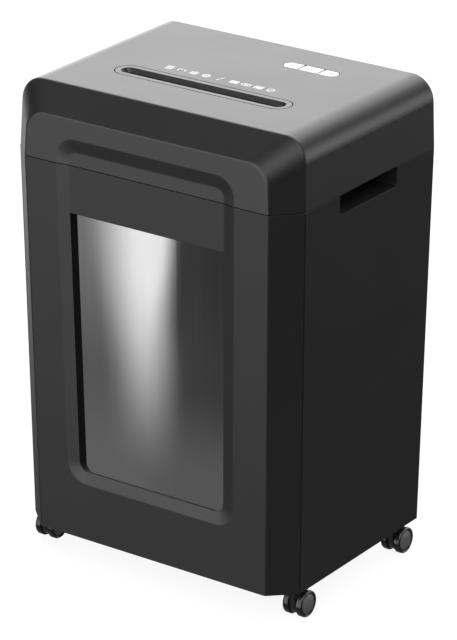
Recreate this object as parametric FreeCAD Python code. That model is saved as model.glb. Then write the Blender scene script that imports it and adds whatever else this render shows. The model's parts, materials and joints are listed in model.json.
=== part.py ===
import FreeCAD, Part
import math
import os

# Free-standing paper shredder on four twin-wheel casters, in millimetres.
# +Z is up, the floor is z = 0, the front is -Y, +X is to the user's right facing the rear.
# The head widens down to the seam, and the body narrows again from the seam to the base.

V = FreeCAD.Vector
os.makedirs("parts", exist_ok=True)

# ---- case -----------------------------------------------------------------------------------
HEIGHT = 600.0
BASE_Z = 36.0
SEAM_Z = 514.2
SEAM_GAP = 1.0
HALF_W_TOP, HALF_W_SEAM, HALF_W_BASE = 200.1, 203.1, 196.1
REAR_SEAM, REAR_BASE = 150.4, 139.4
BEVEL_TOP, BEVEL_SEAM, BEVEL_BASE = -113.7, -118.2, -114.8
FRONT_TOP, FRONT_SEAM, FRONT_BASE = -145.4, -148.4, -142.8
BEVEL_IN_SIDE = 30.3
BEVEL_IN_TOP = 28.1
CROWN_R = 30.0
SOFT_R = 1.6
REAR_R = 1.6
WALL = 3.0
FRONT_WALL = 5.6
HEAD_BOTTOM = SEAM_Z + SEAM_GAP / 2
BIN_TOP = SEAM_Z - SEAM_GAP / 2

# ---- recessed frame and window on the front --------------------------------------------------
FRAME_HALF_SEAM, FRAME_HALF_LOW = 126.6, 120.9
FRAME_TOP, FRAME_BOTTOM = 547.3, 110.0
FRAME_R = 26.0
BAND = 15.8
RECESS = 2.7
FRAME_SOFT = 1.2
WINDOW_TOP = 455.0
WINDOW_DEPTH = 16.0
SILL_FLAT, SILL_FALL = 2.2, 0.62
WINDOW_R = 12.0
PANE_T = 2.5
RETAINER_T = 2.5
TILT_GAP = 0.06

# ---- feed slot and keys ----------------------------------------------------------------------
SLOT_Y = -32.9
BEZEL_HALF, BEZEL_R = 122.6, 16.4
BEZEL_GAP = 1.2
MOUTH_HALF, MOUTH_R = 116.0, 9.8
THROAT_HALF, THROAT_W = 110.0, 6.4
THROAT_Z = 566.5
KEY_X0, KEY_X1 = 29.4, 104.2
KEY_DIVIDE_1, KEY_DIVIDE_2 = 53.4, 81.4
KEY_Y, KEY_HALF_W = 92.2, 8.5
KEY_GAP = 0.8
KEY_SPLIT = 1.5
KEY_TOP = HEIGHT - 0.1
LAMP_X = (42.6, 66.0, 87.6)
LAMP_Y, LAMP_R = 74.2, 1.1
BOARD_Z = 582.0

# ---- cutting unit ----------------------------------------------------------------------------
CUT_Z = 544.0
CUT_SPACING = 35.0
CUT_R, CORE_R, SHAFT_R = 19.4, 14.5, 8.0
DISC_PITCH, DISC_W, DISC_COUNT = 8.0, 3.6, 27
NOTCH, NOTCH_COUNT = 3.4, 8
PLATE_X, PLATE_T = 117.0, 3.0
RUN = 0.05
GEAR_M, GEAR_TEETH, PINION_TEETH = 1.75, 20, 12
FINE_M, WHEEL_TEETH, MOTOR_TEETH = 1.25, 44, 12
GEAR_X0, GEAR_X1 = 122.0, 130.0
WHEEL_X0, WHEEL_X1 = 132.0, 138.0
MOTOR_R = 28.0
MOTOR_X0 = -42.0

# ---- bin -------------------------------------------------------------------------------------
TUB_HALF, TUB_Y0, TUB_Y1 = 176.0, -121.0, 127.0
TUB_Z0, TUB_Z1, TUB_T = 46.0, 478.0, 2.5
RUNNER_X = 150.0
RETAINER_SCREWS = [(side * 119.5, z) for side in (-1, 1) for z in (150.0, 290.0, 430.0)]
TUB_SCREWS = [(side * 142.0, z) for side in (-1, 1) for z in (62.0, 240.0, 466.0)]

# ---- casters ---------------------------------------------------------------------------------
CASTER_X, CASTER_Y_FRONT, CASTER_Y_REAR = 184.5, -107.0, 103.0
TRAIL = 9.0
WHEEL_R, WHEEL_IN, WHEEL_OUT = 16.5, 5.0, 14.8
STEM_R, STEM_TOP = 4.0, 56.0
AXLE_R = 2.5

# ---- hand holes and rear ----------------------------------------------------------------------
HOLE_Y0, HOLE_Y1, HOLE_Z0, HOLE_R = -48.3, 70.5, 489.8, 6.0
INLET_X, INLET_Z = -140.0, 545.0
SWITCH_X, SWITCH_Z = -88.0, 545.0
BACK_SCREW_Z = (60.0, 180.0, 300.0, 490.0)
HEAD_SCREW_X, HEAD_SCREW_Z = 178.0, 532.0
INLET_SCREW = 20.0
ROCKER_TILT, PIVOT_R = 10.0, 1.2


# ---- surfaces of the case ---------------------------------------------------------------------
def between(z, low, seam, top):
    """A value given at the base, the seam and the top, linear between them."""
    if z <= SEAM_Z:
        return low + (seam - low) * (z - BASE_Z) / (SEAM_Z - BASE_Z)
    return seam + (top - seam) * (z - SEAM_Z) / (HEIGHT - SEAM_Z)


def half_width(z):
    return between(z, HALF_W_BASE, HALF_W_SEAM, HALF_W_TOP)


def rear_y(z):
    return between(z, REAR_BASE, REAR_SEAM, REAR_SEAM)


def nose_y(z, forward):
    """Depth of the nose surface: forward is 0 at the bevel's rear edge and 1 on the front face."""
    bevel = between(z, BEVEL_BASE, BEVEL_SEAM, BEVEL_TOP)
    front = between(z, FRONT_BASE, FRONT_SEAM, FRONT_TOP)
    return bevel + forward * (front - bevel)


def front_y(z):
    return nose_y(z, 1.0)


def face_plane(z, above):
    """Depth of one of the two flat front faces, carried on past the seam if asked."""
    if above:
        return FRONT_SEAM + (FRONT_TOP - FRONT_SEAM) * (z - SEAM_Z) / (HEIGHT - SEAM_Z)
    return FRONT_BASE + (FRONT_SEAM - FRONT_BASE) * (z - BASE_Z) / (SEAM_Z - BASE_Z)


# ---- drawing helpers --------------------------------------------------------------------------
def outline(points, radii, place):
    """Closed wire through 2-D points, each corner rounded by its radius; place maps (u, v) to 3-D."""
    count = len(points)
    corners = []
    for i in range(count):
        px, py = points[i]
        ax, ay = points[i - 1]
        bx, by = points[(i + 1) % count]
        la, lb = math.hypot(ax - px, ay - py), math.hypot(bx - px, by - py)
        ua, ub = ((ax - px) / la, (ay - py) / la), ((bx - px) / lb, (by - py) / lb)
        if radii[i] <= 0:
            corners.append([(px, py)])
            continue
        half = math.acos(max(-1.0, min(1.0, ua[0] * ub[0] + ua[1] * ub[1]))) / 2
        reach = radii[i] / math.tan(half)
        mid = ((ua[0] + ub[0]) / 2, (ua[1] + ub[1]) / 2)
        size = math.hypot(*mid)
        far = radii[i] / math.sin(half) - radii[i]
        corners.append([
            (px + ua[0] * reach, py + ua[1] * reach),
            (px + mid[0] / size * far, py + mid[1] / size * far),
            (px + ub[0] * reach, py + ub[1] * reach),
        ])
    edges = []
    for i in range(count):
        if len(corners[i]) == 3:
            edges.append(Part.Arc(*[place(u, v) for u, v in corners[i]]).toShape())
        start, end = corners[i][-1], corners[(i + 1) % count][0]
        if math.hypot(end[0] - start[0], end[1] - start[1]) > 1e-6:
            edges.append(Part.makeLine(place(*start), place(*end)))
    return Part.Wire(edges)


def loft(wires):
    """Ruled solid through the wires in order, with its flat sides as true planes."""
    faces = []
    for face in Part.makeLoft(wires, True, True).Faces:
        plane = face.findPlane()
        faces.append(Part.Face(plane, face.Wires) if plane else face)
    shell = Part.Shell(faces)
    shell.sewShape()
    solid = Part.Solid(shell)
    if solid.Volume < 0:
        solid.reverse()
    return solid


def flat(y):
    """Maps (x, z) into the plane at depth y."""
    return lambda u, v: V(u, y, v)


def level(z):
    """Maps (x, y) into the plane at height z."""
    return lambda u, v: V(u, v, z)


def extrude(wire, vector):
    return Part.Face(wire).extrude(vector)


def box(x0, x1, y0, y1, z0, z1):
    return Part.makeBox(x1 - x0, y1 - y0, z1 - z0, V(x0, y0, z0))


def rod(radius, start, end):
    return Part.makeCylinder(radius, (end - start).Length, start, end - start)


def rod_x(radius, x0, x1, y, z):
    return rod(radius, V(x0, y, z), V(x1, y, z))


def rod_y(radius, y0, y1, x, z):
    return rod(radius, V(x, y0, z), V(x, y1, z))


def rod_z(radius, z0, z1, x, y):
    return rod(radius, V(x, y, z0), V(x, y, z1))


def stadium(x0, x1, y, half, z0, z1):
    """Upright solid with a stadium plan: a straight bar with a half-round at each end."""
    ends = [(x0, y - half), (x1, y - half), (x1, y + half), (x0, y + half)]
    wire = outline(ends, [half - 0.01] * 4, level(z0))
    return extrude(wire, V(0, 0, z1 - z0))


def mirror_x(shape):
    return shape.mirror(V(0, 0, 0), V(1, 0, 0))


def group(shapes):
    return Part.makeCompound(shapes)


def fuse(first, *rest):
    return first.fuse(list(rest)).removeSplitter()


def save(name, shape):
    shape.exportStep("parts/" + name + ".step")
    print("%-20s solids %d  volume %.1f cm3  valid %s" % (
        name, len(shape.Solids), shape.Volume / 1000, shape.isValid()))


# ---- head -------------------------------------------------------------------------------------
def head_section(inset, radius, place_y, forward=None):
    """One section of the head: crown outline drawn in by inset, at a depth or on the nose."""
    top = HEIGHT - inset * BEVEL_IN_TOP / BEVEL_IN_SIDE
    low, high = HALF_W_SEAM - inset, HALF_W_TOP - inset
    points = [(-low, HEAD_BOTTOM), (low, HEAD_BOTTOM), (high, top), (-high, top)]
    if forward is None:
        return outline(points, [0, 0, radius, radius], flat(place_y))
    return outline(points, [0, 0, radius, radius], lambda u, v: V(u, nose_y(v, forward) + place_y, v))


def soft_corner(before, corner, after, reach):
    """Three points that round a corner between two directions, on a quadratic curve."""
    points = []
    for t in (0.0, 0.5, 1.0):
        a = [corner[k] - before[k] * reach for k in (0, 1)]
        b = [corner[k] + after[k] * reach for k in (0, 1)]
        points.append([
            (1 - t) ** 2 * a[k] + 2 * t * (1 - t) * corner[k] + t ** 2 * b[k] for k in (0, 1)])
    return points


def nose_profile():
    """(inset, forward) pairs from the side face over the bevel to the front face, softly rounded."""
    reach = SOFT_R / BEVEL_IN_SIDE
    rear = soft_corner((0.0, 1.0), (0.0, 0.0), (0.7, 0.7), reach)
    front = soft_corner((0.7, 0.7), (1.0, 1.0), (1.0, 0.0), reach)
    return [(p[0] * BEVEL_IN_SIDE, p[1]) for p in rear + front]


def head_outer():
    sections = []
    for step in range(5):
        angle = math.radians(22.5 * step)
        inset = REAR_R * (1 - math.sin(angle))
        depth = REAR_SEAM - REAR_R * (1 - math.cos(angle))
        sections.append(head_section(inset, CROWN_R - inset * 0.5, depth))
    for inset, forward in nose_profile():
        sections.append(head_section(inset, CROWN_R - 2 * forward, 0.0, forward))
    return loft(sections)


def head_inner():
    back = WALL * math.tan(math.radians(22.5))
    bevel_in = WALL + BEVEL_IN_SIDE - back
    sections = [
        head_section(WALL, CROWN_R - WALL, REAR_SEAM - WALL),
        head_section(WALL, CROWN_R - WALL, back, 0.0),
        head_section(bevel_in, CROWN_R - WALL, FRONT_WALL, 1.0),
    ]
    opening = box(-HALF_W_SEAM + WALL, HALF_W_SEAM - WALL, BEVEL_SEAM + back, REAR_SEAM - WALL,
                  HEAD_BOTTOM - 5, HEAD_BOTTOM + 0.5)
    return loft(sections), opening


def frame_section(margin, depth, z_cut, z_top):
    """Outline of the recessed frame, drawn in by margin, parallel to the front at a depth."""
    slope = (FRAME_HALF_SEAM - FRAME_HALF_LOW) / (SEAM_Z - FRAME_BOTTOM)
    half_top = FRAME_HALF_SEAM - margin
    radius = FRAME_R - margin * 0.9

    def place(u, v):
        return V(u, face_plane(v, z_top) + depth, v)

    if z_top:
        top = FRAME_TOP - margin
        points = [(-half_top, z_cut), (half_top, z_cut), (half_top, top), (-half_top, top)]
        return outline(points, [0, 0, radius, radius], place)
    low = FRAME_BOTTOM + margin
    half_low = half_top - slope * (SEAM_Z - low)
    half_cut = half_top + slope * (z_cut - SEAM_Z)
    points = [(-half_low, low), (half_low, low), (half_cut, z_cut), (-half_cut, z_cut)]
    return outline(points, [radius, radius, 0, 0], place)


def frame_pocket(z_cut, z_top):
    """Tool that sinks the frame: a wide sloped band down to a flat field, with softened edges."""
    run = FRAME_SOFT / BAND
    lip = soft_corner((1.0, 0.0), (0.0, 0.0), (1.0, RECESS / BAND), run)
    foot = soft_corner((1.0, RECESS / BAND), (1.0, RECESS / BAND), (1.0, 0.0), run)
    profile = [(-3 * run, -0.3 / BAND)] + lip[1:] + foot
    return loft([frame_section(m * BAND, d * BAND, z_cut, z_top) for m, d in profile])


def mouth_tool():
    """Funnel of the feed slot: scooped ends at the top, then a straight narrow throat."""
    steps = [
        (HEIGHT + 0.5, MOUTH_HALF + 0.4, MOUTH_R + 0.4, MOUTH_R),
        (HEIGHT - 0.8, MOUTH_HALF - 0.8, MOUTH_R - 0.4, MOUTH_R - 0.6),
        (HEIGHT - 5.4, THROAT_HALF + 0.6, MOUTH_R - 3.4, 3.5),
        (HEIGHT - 10.0, THROAT_HALF + 0.4, MOUTH_R - 3.6, 3.5),
        (THROAT_Z + 14.0, THROAT_HALF, THROAT_W / 2, 1.5),
        (THROAT_Z - 1.0, THROAT_HALF, THROAT_W / 2, 1.5),
    ]
    wires = []
    for z, half, half_w, radius in steps:
        points = [(-half, SLOT_Y - half_w), (half, SLOT_Y - half_w),
                  (half, SLOT_Y + half_w), (-half, SLOT_Y + half_w)]
        wires.append(outline(points, [radius] * 4, level(z)))
    return loft(wires)


def screw(x, y, z, axis, head_r=3.4, head_t=2.0, shank_r=1.7, shank=9.0):
    """Pan-head screw: head outside the seat at the point, shank along axis, cross recess on top."""
    seat = V(x, y, z)
    direction = V(*axis)
    shank_part = rod(shank_r, seat - direction * 0.2, seat + direction * shank)
    head = rod(head_r, seat, seat - direction * head_t)
    side = V(0, 0, 1) if abs(axis[2]) < 0.5 else V(1, 0, 0)
    other = direction.cross(side)
    solid = head.fuse(shank_part)
    for along, across in ((side, other), (other, side)):
        corner = seat - direction * (head_t + 0.1) - along * 1.9 - across * 0.35
        edges = [corner, corner + along * 3.8, corner + along * 3.8 + across * 0.7,
                 corner + across * 0.7]
        slot = Part.Face(Part.makePolygon(edges + [corner])).extrude(direction * 1.1)
        solid = solid.cut(slot)
    return solid


def make_head():
    outer = head_outer()
    cavity, mouth = head_inner()
    cover = outer.cut(cavity).cut(mouth)
    cover = cover.cut(frame_pocket(HEAD_BOTTOM - 5, True))
    cover = cover.cut(stadium(-BEZEL_HALF - BEZEL_GAP, BEZEL_HALF + BEZEL_GAP, SLOT_Y,
                              BEZEL_R + BEZEL_GAP, HEIGHT - 8, HEIGHT + 2))
    cover = cover.cut(stadium(KEY_X0 - KEY_GAP, KEY_X1 + KEY_GAP, KEY_Y,
                              KEY_HALF_W + KEY_GAP, HEIGHT - 8, HEIGHT + 2))
    for x in LAMP_X:
        cover = cover.cut(rod_z(LAMP_R, HEIGHT - 8, HEIGHT + 2, x, LAMP_Y))
    cover = cover.cut(box(INLET_X - 14.2, INLET_X + 14.2, 140, 152, INLET_Z - 10.6, INLET_Z + 10.6))
    cover = cover.cut(box(SWITCH_X - 10, SWITCH_X + 10, 140, 152, SWITCH_Z - 7, SWITCH_Z + 7))
    for side in (-1, 1):
        cover = cover.cut(rod_y(1.8, 140, 152, side * HEAD_SCREW_X, HEAD_SCREW_Z))
        cover = cover.cut(rod_y(1.8, 140, 152, INLET_X + side * INLET_SCREW, INLET_Z))
    save("head_cover", cover)

    ring = stadium(-BEZEL_HALF, BEZEL_HALF, SLOT_Y, BEZEL_R, HEIGHT - WALL - 1, HEIGHT)
    flange = stadium(-BEZEL_HALF - 4, BEZEL_HALF + 4, SLOT_Y, BEZEL_R + 4,
                     HEIGHT - WALL - 2.5, HEIGHT - WALL)
    throat_plan = [(-THROAT_HALF - 3, SLOT_Y - 8), (THROAT_HALF + 3, SLOT_Y - 8),
                   (THROAT_HALF + 3, SLOT_Y + 8), (-THROAT_HALF - 3, SLOT_Y + 8)]
    low_plan = [(x, SLOT_Y + (y - SLOT_Y) * 0.72) for x, y in throat_plan]
    top_plan = [(x, SLOT_Y + (y - SLOT_Y) * 1.55) for x, y in throat_plan]
    body = loft([outline(low_plan, [1] * 4, level(THROAT_Z)),
                 outline(top_plan, [1] * 4, level(HEIGHT - WALL - 2.5))])
    save("feed_slot_bezel", fuse(ring, flange, body).cut(mouth_tool()))

    tray_rear = REAR_SEAM - WALL - 0.6
    tray_plan = [(-199.4, tray_rear), (-199.4, -115.0), (-170.6, -142.0),
                 (170.6, -142.0), (199.4, -115.0), (199.4, tray_rear)]
    tray = extrude(outline(tray_plan, [0] * 6, level(SEAM_Z + 1)), V(0, 0, WALL))
    tray = tray.cut(box(-113, 113, SLOT_Y - 22, SLOT_Y + 22, SEAM_Z, SEAM_Z + 6))
    for side in (-1, 1):
        x = side * HEAD_SCREW_X
        lug = box(x - 7, x + 7, tray_rear - 10, tray_rear, SEAM_Z + 2, HEAD_SCREW_Z + 7)
        tray = fuse(tray, lug).cut(rod_y(1.7, 130, 150, x, HEAD_SCREW_Z))
    save("head_tray", tray)


# ---- keys, lamps, board ------------------------------------------------------------------------
def key_plan():
    """Name, left end, right end and stem centre of each key."""
    return [
        ("reverse", KEY_X0, KEY_DIVIDE_1 - KEY_SPLIT, (KEY_X0 + KEY_DIVIDE_1) / 2 + 1),
        ("power", KEY_DIVIDE_1 + KEY_SPLIT, KEY_DIVIDE_2 - KEY_SPLIT, (KEY_DIVIDE_1 + KEY_DIVIDE_2) / 2),
        ("forward", KEY_DIVIDE_2 + KEY_SPLIT, KEY_X1, (KEY_DIVIDE_2 + KEY_X1) / 2 - 1),
    ]


def make_keys():
    cap_low = HEIGHT - 4.6
    frame_low, frame_floor = HEIGHT - 14, HEIGHT - 12
    whole = stadium(KEY_X0, KEY_X1, KEY_Y, KEY_HALF_W, cap_low, KEY_TOP)
    frame = stadium(KEY_X0 - 4, KEY_X1 + 4, KEY_Y, KEY_HALF_W + 4, frame_low, HEIGHT - WALL)
    frame = frame.cut(stadium(KEY_X0 - KEY_GAP, KEY_X1 + KEY_GAP, KEY_Y, KEY_HALF_W + KEY_GAP,
                              frame_floor, HEIGHT))
    stem_r, stem_low = 2.8, HEIGHT - 14.6
    for name, x0, x1, stem_x in key_plan():
        cap = whole.common(box(x0, x1, KEY_Y - 20, KEY_Y + 20, cap_low, HEIGHT))
        save("key_" + name, fuse(cap, rod_z(stem_r, stem_low, cap_low + 1, stem_x, KEY_Y)))
        frame = frame.cut(rod_z(stem_r + 0.4, frame_low - 1, frame_floor + 1, stem_x, KEY_Y))
        low, high = frame_floor, cap_low
        dome = Part.makeCone(6.0, 4.4, high - low, V(stem_x, KEY_Y, low))
        dome = dome.cut(Part.makeCone(5.1, 3.5, high - low, V(stem_x, KEY_Y, low)))
        save("dome_" + name, dome)
    save("key_frame", frame)
    lamps = [rod_z(LAMP_R - 0.05, HEIGHT - 6, HEIGHT - 0.1, x, LAMP_Y) for x in LAMP_X]
    save("indicator_lenses", group(lamps))
    board = box(KEY_X0 - 12, KEY_X1 + 12, 66, 118, BOARD_Z, BOARD_Z + 1.6)
    for name, x0, x1, stem_x in key_plan():
        board = board.fuse(box(stem_x - 3, stem_x + 3, KEY_Y - 3, KEY_Y + 3, BOARD_Z + 1, BOARD_Z + 2.1))
    for x, y in ((KEY_X0 - 8, 70), (KEY_X1 + 8, 70), (KEY_X0 - 8, 114), (KEY_X1 + 8, 114)):
        board = board.fuse(rod_z(3, BOARD_Z + 1, HEIGHT - WALL, x, y))
    save("control_board", board.removeSplitter())


# ---- body panels -------------------------------------------------------------------------------
def side_section(z):
    """Plan of the right side panel: front flange, skin, rounded rear return, flange for screws."""
    x, y0, y1 = half_width(z), nose_y(z, 0.0) + SEAM_GAP, rear_y(z)
    points = [(x - 14, y0), (x, y0), (x, y1), (x - 22, y1), (x - 22, y1 - 3.7), (x - 38, y1 - 3.7),
              (x - 38, y1 - 6.7), (x - 19, y1 - 6.7), (x - 15.3, y1 - WALL),
              (x - WALL, y1 - WALL), (x - WALL, y0 + WALL), (x - 14, y0 + WALL)]
    radii = [0, 0.8, REAR_R] + [0] * 9
    return outline(points, radii, level(z))


def handle_tool(margin, x0, x1):
    """Hand hole between two planes, drawn out by margin; it is open upwards past the seam."""
    points = [(HOLE_Y0 - margin, HOLE_Z0 - margin), (HOLE_Y1 + margin, HOLE_Z0 - margin),
              (HOLE_Y1 + margin, SEAM_Z + 2), (HOLE_Y0 - margin, SEAM_Z + 2)]
    radius = HOLE_R + margin
    wire = outline(points, [radius, radius, 0, 0], lambda u, v: V(x0, u, v))
    return extrude(wire, V(x1 - x0, 0, 0))


def make_panels():
    panel = loft([side_section(BASE_Z), side_section(SEAM_Z)])
    panel = panel.cut(handle_tool(0, 180, 210))
    socket_room = box(170, HALF_W_BASE - WALL, CASTER_Y_FRONT - 10, CASTER_Y_FRONT + 10, BASE_Z - 1, 64)
    panel = panel.cut(socket_room)
    for z in BACK_SCREW_Z:
        panel = panel.cut(rod_y(1.7, rear_y(z) - 10, rear_y(z), half_width(z) - 30, z))
    save("side_panel_right", panel)
    save("side_panel_left", mirror_x(panel))

    skin_in = half_width(HOLE_Z0) - WALL - 0.3
    cup = handle_tool(2.4, 166, skin_in).common(box(160, 210, -70, 90, 480, SEAM_Z - 0.2))
    cup = cup.cut(handle_tool(0, 168.4, 210))
    save("handle_cup_right", cup)
    save("handle_cup_left", mirror_x(cup))

    def back_plane(y_off):
        half_low, half_top = HALF_W_BASE - 22.4, HALF_W_SEAM - 22.4
        return Part.makePolygon([
            V(-half_low, REAR_BASE + y_off, BASE_Z), V(half_low, REAR_BASE + y_off, BASE_Z),
            V(half_top, REAR_SEAM + y_off, SEAM_Z), V(-half_top, REAR_SEAM + y_off, SEAM_Z),
            V(-half_low, REAR_BASE + y_off, BASE_Z)])

    back = loft([back_plane(-0.6), back_plane(-0.6 - WALL)])
    for row in range(7):
        z = 400 + 11 * row
        for x in (-95, 95):
            vent = [(x - 45, z - 2), (x + 45, z - 2), (x + 45, z + 2), (x - 45, z + 2)]
            back = back.cut(extrude(outline(vent, [1.9] * 4, flat(120)), V(0, 40, 0)))
    for z in BACK_SCREW_Z:
        for x in (half_width(z) - 30, 30 - half_width(z)):
            back = back.cut(rod_y(1.8, 120, 160, x, z))
    save("back_panel", back)

    base = box(-HALF_W_BASE + WALL + 0.3, HALF_W_BASE - WALL - 0.3,
               BEVEL_BASE + SEAM_GAP, REAR_BASE - 7.6, BASE_Z, BASE_Z + WALL)
    for x, y in caster_places():
        base = base.cut(rod_z(7.05, BASE_Z - 1, BASE_Z + 5, x, y))
    save("base_plate", base)

    rails = []
    for side in (-1, 1):
        x = side * RUNNER_X
        channel = box(x - 9, x + 9, -112, 130, BASE_Z + WALL, BASE_Z + WALL + 6)
        channel = channel.cut(box(x - 6, x + 6, -113, 131, BASE_Z + WALL + 1.5, BASE_Z + WALL + 7))
        rails.append(channel)
    save("bin_rails", group(rails))
    save("bin_sensor", box(-12, 12, 138.8, 145.8, SEAM_Z - 26, SEAM_Z - 8))


# ---- bin ---------------------------------------------------------------------------------------
def window_wire(margin, depth, radius):
    """Outline of the window, drawn out by margin, parallel to the front at a depth.

    The sill is level for a short way, then falls so that the pane shows down to its edge."""
    slope = (FRAME_HALF_SEAM - FRAME_HALF_LOW) / (SEAM_Z - FRAME_BOTTOM)
    low = FRAME_BOTTOM + BAND - margin - SILL_FALL * max(0.0, depth - RECESS - SILL_FLAT)
    high = WINDOW_TOP + margin
    half = FRAME_HALF_SEAM - BAND + margin
    half_low, half_high = half - slope * (SEAM_Z - low), half - slope * (SEAM_Z - high)
    points = [(-half_low, low), (half_low, low), (half_high, high), (-half_high, high)]
    return outline(points, [radius, radius, 0, 0], lambda u, v: V(u, front_y(v) + depth, v))


def window_solid(margin, depth0, depth1, radius=None):
    if radius is None:
        radius = WINDOW_R + margin
    return loft([window_wire(margin, depth0, radius), window_wire(margin, depth1, radius)])


def bin_section(inset, forward, depth, z0, z1):
    low, high = half_width(z0) - inset, half_width(z1) - inset
    points = [(-low, z0), (low, z0), (high, z1), (-high, z1)]
    return outline(points, [0] * 4, lambda u, v: V(u, nose_y(v, forward) + depth, v))


def make_bin():
    profile = [(0.0, 0.0)] + nose_profile()[3:]
    outer = loft([bin_section(i, f, 0.0, BASE_Z, BIN_TOP) for i, f in profile])
    back = WALL * math.tan(math.radians(22.5))
    low, high = BASE_Z + WALL, BIN_TOP - WALL
    cavity = loft([
        bin_section(WALL, 0.0, 6.0, low, high),
        bin_section(WALL, 0.0, back, low, high),
        bin_section(WALL + BEVEL_IN_SIDE - back, 1.0, FRONT_WALL, low, high)])
    front = outer.cut(cavity)
    front = fuse(front, window_solid(2.6, FRONT_WALL - 0.5, WINDOW_DEPTH))
    pane_z = WINDOW_DEPTH + PANE_T
    for x, z in RETAINER_SCREWS:
        boss_end = front_y(z) + pane_z - TILT_GAP
        front = front.fuse(rod_y(3.6, front_y(z) + FRONT_WALL - 0.5, boss_end, x, z))
    for x, z in TUB_SCREWS:
        front = front.fuse(rod_y(4.5, front_y(z) + FRONT_WALL - 0.5, TUB_Y0, x, z))
    front = front.removeSplitter()
    front = front.cut(frame_pocket(BIN_TOP + 5, False))
    front = front.cut(window_solid(0, -2, RECESS + SILL_FLAT, WINDOW_R))
    front = front.cut(window_solid(0, RECESS + SILL_FLAT, WINDOW_DEPTH + 1, WINDOW_R))
    for x, z in RETAINER_SCREWS:
        front = front.cut(rod_y(1.7, front_y(z) + pane_z - 9, front_y(z) + pane_z + 1, x, z))
    for x, z in TUB_SCREWS:
        front = front.cut(rod_y(1.7, TUB_Y0 - 8, TUB_Y0 + 1, x, z))
    save("bin_front", front)

    save("window_pane", window_solid(4.0, WINDOW_DEPTH + 0.05, pane_z, 10.0))
    holder = window_solid(14.0, pane_z, pane_z + RETAINER_T)
    holder = holder.cut(window_solid(0.4, pane_z - 1, pane_z + RETAINER_T + 1, WINDOW_R))
    for x, z in RETAINER_SCREWS:
        holder = holder.cut(rod_y(1.8, front_y(z) + pane_z - 1, front_y(z) + pane_z + 4, x, z))
    save("window_retainer", holder)

    def tub_box(inset, z0, z1, radius):
        x, y0, y1 = TUB_HALF - inset, TUB_Y0 + inset, TUB_Y1 - inset
        points = [(-x, y0), (x, y0), (x, y1), (-x, y1)]
        return extrude(outline(points, [radius] * 4, level(z0)), V(0, 0, z1 - z0))

    tub = tub_box(0, TUB_Z0, TUB_Z1, 14)
    rim = tub_box(-2.5, TUB_Z1 - 3, TUB_Z1, 16.5).common(box(-200, 200, TUB_Y0, 200, 0, 600))
    tub = fuse(tub, rim).cut(tub_box(TUB_T, TUB_Z0 + TUB_T, TUB_Z1 + 1, 14 - TUB_T))
    tub = tub.cut(window_solid(0.4, 5, 40, WINDOW_R))
    for x, z in TUB_SCREWS:
        tub = tub.cut(rod_y(1.8, TUB_Y0 - 1, TUB_Y0 + 4, x, z))
    save("bin_tub", tub)

    runner_z = BASE_Z + WALL + 1.8
    runners = [box(x - 5, x + 5, -106, 112, runner_z, TUB_Z0) for x in (-RUNNER_X, RUNNER_X)]
    save("bin_runners", group(runners))
    screws = [screw(x, TUB_Y0 + TUB_T, z, (0, -1, 0)) for x, z in TUB_SCREWS]
    for x, z in RETAINER_SCREWS:
        seat = front_y(z) + pane_z + RETAINER_T + TILT_GAP
        screws.append(screw(x, seat, z, (0, -1, 0), head_t=1.4, shank=8))
    save("bin_screws", group(screws))


# ---- cutting unit ------------------------------------------------------------------------------
CUT_FRONT_Y = SLOT_Y - CUT_SPACING / 2
CUT_REAR_Y = SLOT_Y + CUT_SPACING / 2
IDLER_Z = CUT_Z + 6.0
IDLER_REACH = GEAR_M * (GEAR_TEETH + PINION_TEETH) / 2
IDLER_Y = CUT_REAR_Y + math.sqrt(IDLER_REACH ** 2 - (IDLER_Z - CUT_Z) ** 2)
MOTOR_Y = IDLER_Y + FINE_M * (WHEEL_TEETH + MOTOR_TEETH) / 2
MOTOR_Z = IDLER_Z


def gear(teeth, module, x0, x1, y, z, phase):
    """Spur gear about an axis along X, with a tooth at the phase angle (0 is +Y, 90 is +Z)."""
    pitch = 2 * math.pi / teeth
    levels = [(teeth / 2 - 1.15, 0.31), (teeth / 2, 0.215), (teeth / 2 + 0.85, 0.115)]
    points = []
    for i in range(teeth):
        centre = math.radians(phase) + i * pitch
        for radius, half in levels:
            points.append((radius * module, centre - half * pitch))
        for radius, half in reversed(levels):
            points.append((radius * module, centre + half * pitch))
    ring = [V(x0, y + r * math.cos(a), z + r * math.sin(a)) for r, a in points]
    return Part.Face(Part.makePolygon(ring + [ring[0]])).extrude(V(x1 - x0, 0, 0))


def mesh_phase(phase, teeth, direction, other_teeth):
    """Phase of the gear that meshes with one at a phase, when it lies in a direction from it."""
    offset = (phase - direction) * teeth / other_teeth
    return direction + 180 + 180 / other_teeth - offset


def cutter(y, shift):
    """Cutter shaft with its row of toothed discs, each turned a little from the last."""
    shape = rod_x(CORE_R, -PLATE_X + 1, PLATE_X - 1, y, CUT_Z)
    shape = shape.fuse(rod_x(SHAFT_R, -PLATE_X - 6, GEAR_X1 + 1, y, CUT_Z))
    discs = []
    for i in range(DISC_COUNT):
        x = (i - (DISC_COUNT - 1) / 2) * DISC_PITCH + shift
        ring = []
        for k in range(NOTCH_COUNT):
            start = math.radians(360 * k / NOTCH_COUNT + 9 * i)
            step = 2 * math.pi / NOTCH_COUNT
            for part, drop in ((0.0, 0.0), (0.25, 0.0), (0.5, 0.0), (0.78, 0.0), (0.8, NOTCH)):
                angle, radius = start + part * step, CUT_R - drop
                ring.append(V(x - DISC_W / 2, y + radius * math.cos(angle),
                              CUT_Z + radius * math.sin(angle)))
        discs.append(Part.Face(Part.makePolygon(ring + [ring[0]])).extrude(V(DISC_W, 0, 0)))
    return shape.fuse(discs)


def bored(shape, radius, y, z):
    return shape.cut(rod_x(radius, -200, 200, y, z))


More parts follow.
